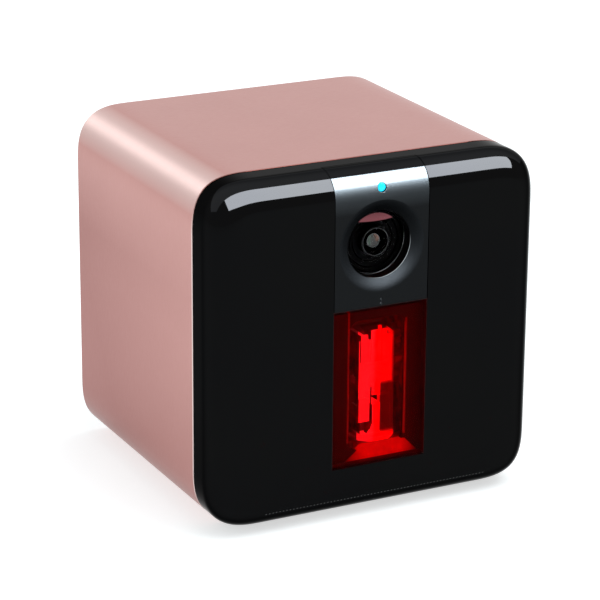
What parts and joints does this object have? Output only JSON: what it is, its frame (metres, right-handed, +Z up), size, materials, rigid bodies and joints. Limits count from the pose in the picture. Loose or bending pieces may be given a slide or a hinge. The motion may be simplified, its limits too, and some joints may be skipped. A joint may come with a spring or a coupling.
{
  "type": "pet camera",
  "caption": "Cube-shaped pet camera: metal sleeve, black front with lens and status light, red window over a pan and tilt laser, speaker, power socket and tripod insert.",
  "frame": {"origin": "on the table, under the middle of the case", "axes": "+Z up; the lens and the red window face -Y; +X is to the right of the front face as seen from the front"},
  "size_m": [0.076, 0.0706, 0.076],
  "materials": {
    "rose_aluminium": "bead-blasted and anodised rose gold, satin",
    "gloss_black": "polished black polycarbonate",
    "satin_grey": "satin dark grey with a fine sparkle",
    "red_window": "clear red acrylic, lit from behind",
    "matt_black": "moulded black ABS, fine matt grain",
    "white_acetal": "white acetal, moulded",
    "steel": "bright steel",
    "bare_aluminium": "bare extruded aluminium",
    "brass": "turned brass",
    "coated_glass": "polished, with a green anti-reflection coat",
    "solder_mask": "green solder mask on glass fibre board",
    "sensor_glass": "sensor cover glass on a black package",
    "black_rubber": "soft matt rubber",
    "cyan_light": "clear light pipe that glows cyan",
    "paper_cone": "coated black paper",
    "ferrite": "dark sintered ferrite with a steel yoke"
  },
  "bodies": {
    "housing": {"body_sleeve": "rose_aluminium", "front_cover": "gloss_black", "camera_panel": "satin_grey", "laser_window": "red_window", "front_seal": "black_rubber", "carrier": "matt_black", "light_pipe": "cyan_light", "status_led": "white_acetal", "led_board": "solder_mask", "microphone_boot": "black_rubber", "microphone": "steel", "antenna": "solder_mask", "lens_ring": "matt_black", "lens_barrel": "matt_black", "front_lens": "coated_glass", "cover_glass": "coated_glass", "rear_lens": "coated_glass", "lens_holder": "matt_black", "image_sensor": "sensor_glass", "camera_board": "solder_mask", "camera_screw_1": "steel", "camera_screw_2": "steel", "chamber_bezel": "matt_black", "laser_chamber": "matt_black", "front_screw_1": "steel", "front_screw_2": "steel", "front_screw_3": "steel", "front_screw_4": "steel", "pan_motor": "steel", "rear_cover": "matt_black", "rear_screw_1": "steel", "rear_screw_2": "steel", "rear_screw_3": "steel", "rear_screw_4": "steel", "speaker_basket": "steel", "speaker_magnet": "ferrite", "base_tray": "matt_black", "tripod_insert": "brass", "foot_1": "black_rubber", "foot_2": "black_rubber", "foot_3": "black_rubber", "foot_4": "black_rubber", "main_board": "solder_mask", "processor_shield": "steel", "heat_sink": "bare_aluminium", "wifi_module": "steel", "power_socket": "steel", "tact_switch": "matt_black"},
    "turret": {"pan_gear": "white_acetal", "pan_spindle": "steel", "pan_yoke": "white_acetal", "tilt_motor": "steel"},
    "laser_head": {"laser_cradle": "white_acetal", "laser_module": "brass", "laser_lens": "coated_glass", "tilt_gear": "white_acetal"},
    "pan_drive": {"pan_pinion": "white_acetal"},
    "tilt_drive": {"tilt_pinion": "white_acetal"},
    "speaker_diaphragm": {"speaker_cone": "paper_cone"},
    "button": {"setup_button": "matt_black"}
  },
  "joints": [
    {"name": "laser_pan", "type": "hinge", "parent": "housing", "child": "turret", "pos_m": [0.0032, -0.02493, 0.0271], "axis": [0, 0, 1], "range_deg": [-30, 30]},
    {"name": "laser_tilt", "type": "hinge", "parent": "turret", "child": "laser_head", "pos_m": [0.0032, -0.02493, 0.0271], "axis": [1, 0, 0], "range_deg": [-25, 25]},
    {"name": "pan_motor_shaft", "type": "hinge", "parent": "housing", "child": "pan_drive", "pos_m": [0.0032, -0.01648, 0.0131], "axis": [0, 0, 1], "range_deg": [-76, 76]},
    {"name": "tilt_motor_shaft", "type": "hinge", "parent": "turret", "child": "tilt_drive", "pos_m": [0.0032, -0.02493, 0.03555], "axis": [1, 0, 0], "range_deg": [-64, 64]},
    {"name": "speaker_travel", "type": "slide", "parent": "housing", "child": "speaker_diaphragm", "axis": [0, 1, 0], "range_m": [-0.0003, 0.0003], "stiffness_N_per_m": 800},
    {"name": "setup_button_press", "type": "slide", "parent": "housing", "child": "button", "axis": [0, -1, 0], "range_m": [0, 0.0005], "stiffness_N_per_m": 400}
  ],
  "couplings": [
    {"joint": "pan_motor_shaft", "follows": "laser_pan", "ratio": -2.5},
    {"joint": "tilt_motor_shaft", "follows": "laser_tilt", "ratio": -2.5}
  ]
}
